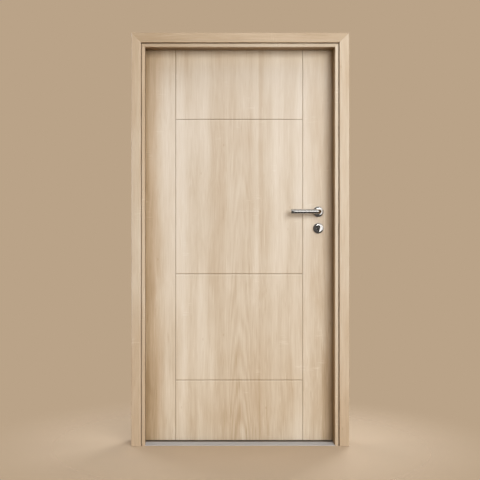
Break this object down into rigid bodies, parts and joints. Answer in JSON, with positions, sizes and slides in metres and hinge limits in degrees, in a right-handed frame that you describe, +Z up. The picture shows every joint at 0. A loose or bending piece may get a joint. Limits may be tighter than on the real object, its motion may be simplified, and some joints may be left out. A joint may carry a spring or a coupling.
{
  "type": "interior door",
  "caption": "Hinged PVC-faced interior door in a cased frame: grooved wood-grain leaf, round lever on a rose, and a lock rose below it.",
  "frame": {"origin": "on the hinge jamb's wall face, at floor level, in the middle of the wall's thickness", "axes": "+X from the hinge jamb towards the latch side, +Y through the wall to the side the leaf opens to, +Z up"},
  "size_m": [1.09, 0.2155, 2.069],
  "materials": {
    "leaf_foil": "satin PVC foil printed with light oak grain, over grooved board",
    "leaf_edge_foil": "satin PVC edge foil in the same light oak",
    "frame_foil": "satin PVC foil in the same light oak",
    "seal_rubber": "matt soft seal",
    "sill_grey": "matt warm grey",
    "hinge_steel": "satin nickel plate",
    "cylinder_nickel": "satin nickel",
    "handle_steel": "polished stainless steel"
  },
  "bodies": {
    "frame": {"hinge_jamb": "frame_foil", "latch_jamb": "frame_foil", "head_jamb": "frame_foil", "front_casing_hinge_side": "frame_foil", "front_casing_latch_side": "frame_foil", "front_casing_head": "frame_foil", "back_casing_hinge_side": "frame_foil", "back_casing_latch_side": "frame_foil", "back_casing_head": "frame_foil", "seal_hinge_side": "seal_rubber", "seal_latch_side": "seal_rubber", "seal_head": "seal_rubber", "sill_plate": "sill_grey", "strike_plate": "hinge_steel", "low_hinge_frame_plate": "hinge_steel", "low_hinge_pin": "hinge_steel", "middle_hinge_frame_plate": "hinge_steel", "middle_hinge_pin": "hinge_steel", "high_hinge_frame_plate": "hinge_steel", "high_hinge_pin": "hinge_steel"},
    "leaf": {"leaf_front_skin": "leaf_foil", "leaf_back_skin": "leaf_foil", "leaf_hinge_stile": "leaf_edge_foil", "leaf_lock_stile": "leaf_edge_foil", "leaf_top_rail": "leaf_edge_foil", "leaf_foot_rail": "leaf_edge_foil", "low_hinge_leaf_plate": "hinge_steel", "middle_hinge_leaf_plate": "hinge_steel", "high_hinge_leaf_plate": "hinge_steel", "lock_front_plate": "hinge_steel", "latch_bolt": "hinge_steel", "dead_bolt": "hinge_steel", "front_lever_rose": "handle_steel", "back_lever_rose": "handle_steel", "front_key_rose": "handle_steel", "back_key_rose": "handle_steel", "lock_cylinder": "cylinder_nickel"},
    "lever": {"front_lever": "handle_steel", "back_lever": "handle_steel", "lever_spindle": "hinge_steel"}
  },
  "joints": [
    {"name": "leaf_swing", "type": "hinge", "parent": "frame", "child": "leaf", "pos_m": [0.0255, 0.076, 0], "axis": [0, 0, 1], "range_deg": [0, 160]},
    {"name": "lever_turn", "type": "hinge", "parent": "leaf", "child": "lever", "pos_m": [0.9215, 0.0475, 1.176], "axis": [0, -1, 0], "range_deg": [0, 45], "stiffness_Nm_per_rad": 1.2, "springref_deg": -57.3}
  ]
}
